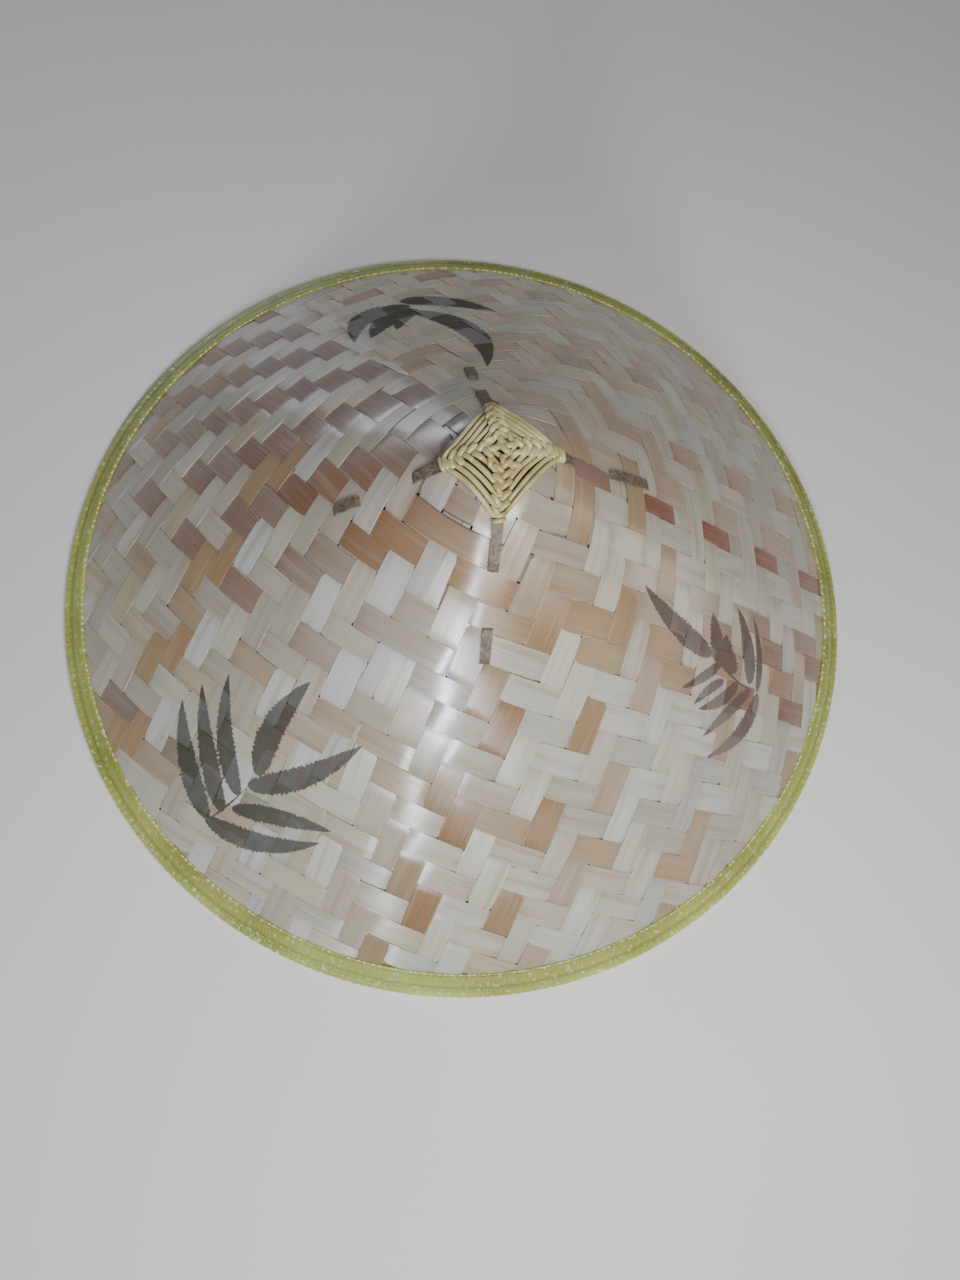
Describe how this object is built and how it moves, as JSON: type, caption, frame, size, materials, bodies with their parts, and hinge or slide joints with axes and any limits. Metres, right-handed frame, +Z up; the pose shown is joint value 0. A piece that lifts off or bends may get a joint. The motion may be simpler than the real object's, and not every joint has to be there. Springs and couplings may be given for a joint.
{
  "type": "conical bamboo hat",
  "caption": "Conical woven bamboo hat with a braid-bound rim and a rattan ornament lashed over crossed slats at its top.",
  "frame": {"origin": "centre of the rim, on the surface that the hat rests on", "axes": "+Z up through the apex, -Y towards the side nearest the camera in the picture"},
  "size_m": [0.4, 0.4, 0.1586],
  "materials": {
    "bamboo_splint": "thin dried bamboo splints, satin, pale beige with some brown ones",
    "edge_braid": "glossy yellow-green braid, finely woven",
    "bamboo_slat": "smoked brown bamboo, dull",
    "rattan": "straw-yellow rattan, satin"
  },
  "bodies": {
    "root": {"woven_shell": "bamboo_splint", "rim_binding": "edge_braid", "cross_slat_lower": "bamboo_slat", "cross_slat_upper": "bamboo_slat", "apex_ornament": "rattan"}
  },
  "joints": []
}
